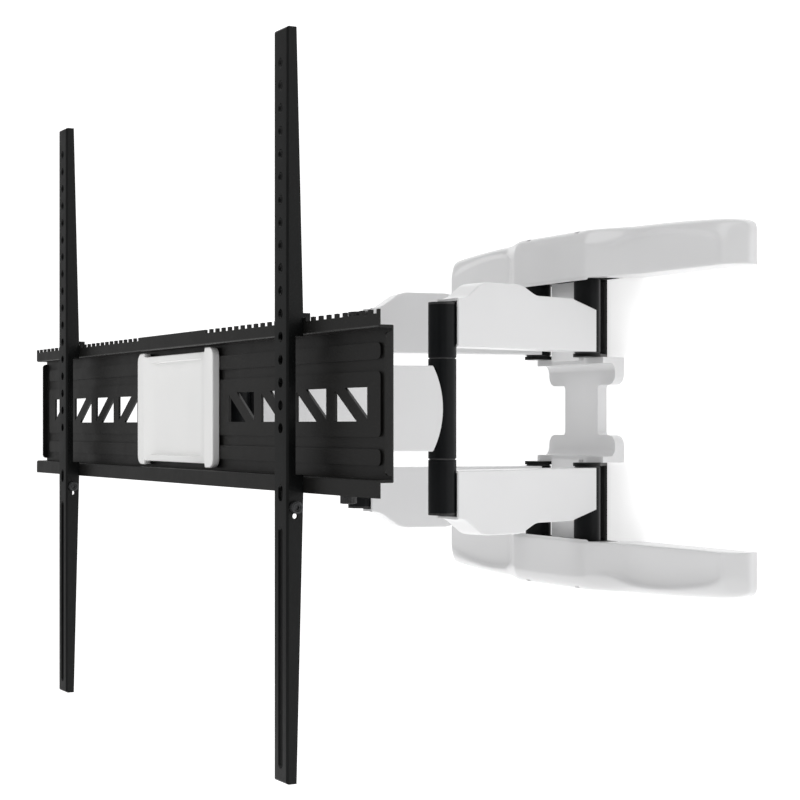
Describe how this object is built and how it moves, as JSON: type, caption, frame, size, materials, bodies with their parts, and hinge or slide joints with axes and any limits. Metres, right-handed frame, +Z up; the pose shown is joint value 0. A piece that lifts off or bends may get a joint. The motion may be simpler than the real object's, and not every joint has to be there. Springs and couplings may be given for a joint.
{
  "type": "swivel television wall mount",
  "caption": "Full-motion television wall mount: folding twin arms under white covers carry a slotted plate with two tall upright rails that swivels and tilts.",
  "frame": {"origin": "on the wall face, at the centre of the four wall bolts", "axes": "+X to the right along the wall, +Y into the wall, +Z up"},
  "size_m": [0.9, 0.5426, 0.66],
  "materials": {
    "black_steel": "satin powder coat",
    "black_sheet": "matt powder coat",
    "black_tube": "satin paint",
    "white_plastic": "gloss",
    "black_plastic": "matt",
    "bush_plastic": "matt",
    "bare_steel": "zinc plated"
  },
  "bodies": {
    "wall_frame": {"upper_wall_bar": "black_steel", "lower_wall_bar": "black_steel", "centre_post": "black_steel", "upper_pivot_bracket": "black_steel", "lower_pivot_bracket": "black_steel", "upper_wall_cover": "white_plastic", "lower_wall_cover": "white_plastic", "centre_cover": "white_plastic", "wall_pivot_pins": "bare_steel"},
    "right_wall_arm": {"right_upper_arm": "black_tube", "right_lower_arm": "black_tube", "right_upper_arm_cover": "white_plastic", "right_lower_arm_cover": "white_plastic", "right_elbow_shaft": "bare_steel", "right_elbow_caps": "black_plastic", "right_wall_bushes": "bush_plastic"},
    "right_front_arm": {"right_front_arm": "black_tube", "right_front_arm_cover": "white_plastic", "right_elbow_bushes": "bush_plastic", "right_head_bushes": "bush_plastic"},
    "left_wall_arm": {"left_upper_arm": "black_tube", "left_lower_arm": "black_tube", "left_upper_arm_cover": "white_plastic", "left_lower_arm_cover": "white_plastic", "left_elbow_shaft": "bare_steel", "left_elbow_caps": "black_plastic", "left_wall_bushes": "bush_plastic"},
    "left_front_arm": {"left_front_arm": "black_tube", "left_front_arm_cover": "white_plastic", "left_elbow_bushes": "bush_plastic", "left_head_bushes": "bush_plastic"},
    "yoke": {"yoke_plates": "black_steel", "head_pivot_pins": "bare_steel", "swivel_pin": "bare_steel"},
    "swivel_head": {"swivel_block": "black_steel", "swivel_bushes": "bush_plastic"},
    "tv_plate": {"tv_plate": "black_sheet", "tilt_bracket": "black_steel", "tilt_bolt": "bare_steel", "tilt_nut": "bare_steel", "bracket_bolts": "bare_steel", "front_cover": "white_plastic", "right_rail": "black_steel", "left_rail": "black_steel", "rail_lock_screws": "black_plastic", "lip_knob": "black_plastic"}
  },
  "joints": [
    {"name": "fold_right", "type": "hinge", "parent": "wall_frame", "child": "right_wall_arm", "pos_m": [0.05, -0.04, 0], "axis": [0, 0, 1], "range_deg": [-9, 61]},
    {"name": "elbow_right", "type": "hinge", "parent": "right_wall_arm", "child": "right_front_arm", "pos_m": [0.09198, -0.25596, 0], "axis": [0, 0, 1], "range_deg": [-122, 18]},
    {"name": "head_right", "type": "hinge", "parent": "right_front_arm", "child": "yoke", "pos_m": [0.05, -0.47192, 0], "axis": [0, 0, 1], "range_deg": [-9, 61]},
    {"name": "fold_left", "type": "hinge", "parent": "wall_frame", "child": "left_wall_arm", "pos_m": [-0.05, -0.04, 0], "axis": [0, 0, 1], "range_deg": [-61, 9]},
    {"name": "elbow_left", "type": "hinge", "parent": "left_wall_arm", "child": "left_front_arm", "pos_m": [-0.09198, -0.25596, 0], "axis": [0, 0, 1], "range_deg": [-18, 122]},
    {"name": "swivel", "type": "hinge", "parent": "yoke", "child": "swivel_head", "pos_m": [0, -0.47192, 0], "axis": [0, 0, 1], "range_deg": [-10, 10]},
    {"name": "tilt", "type": "hinge", "parent": "swivel_head", "child": "tv_plate", "pos_m": [0, -0.49792, 0], "axis": [1, 0, 0], "range_deg": [-5, 12]}
  ],
  "couplings": [
    {"joint": "elbow_right", "follows": "fold_right", "ratio": -2},
    {"joint": "head_right", "follows": "fold_right", "ratio": 1},
    {"joint": "fold_left", "follows": "fold_right", "ratio": -1},
    {"joint": "elbow_left", "follows": "fold_right", "ratio": 2}
  ]
}
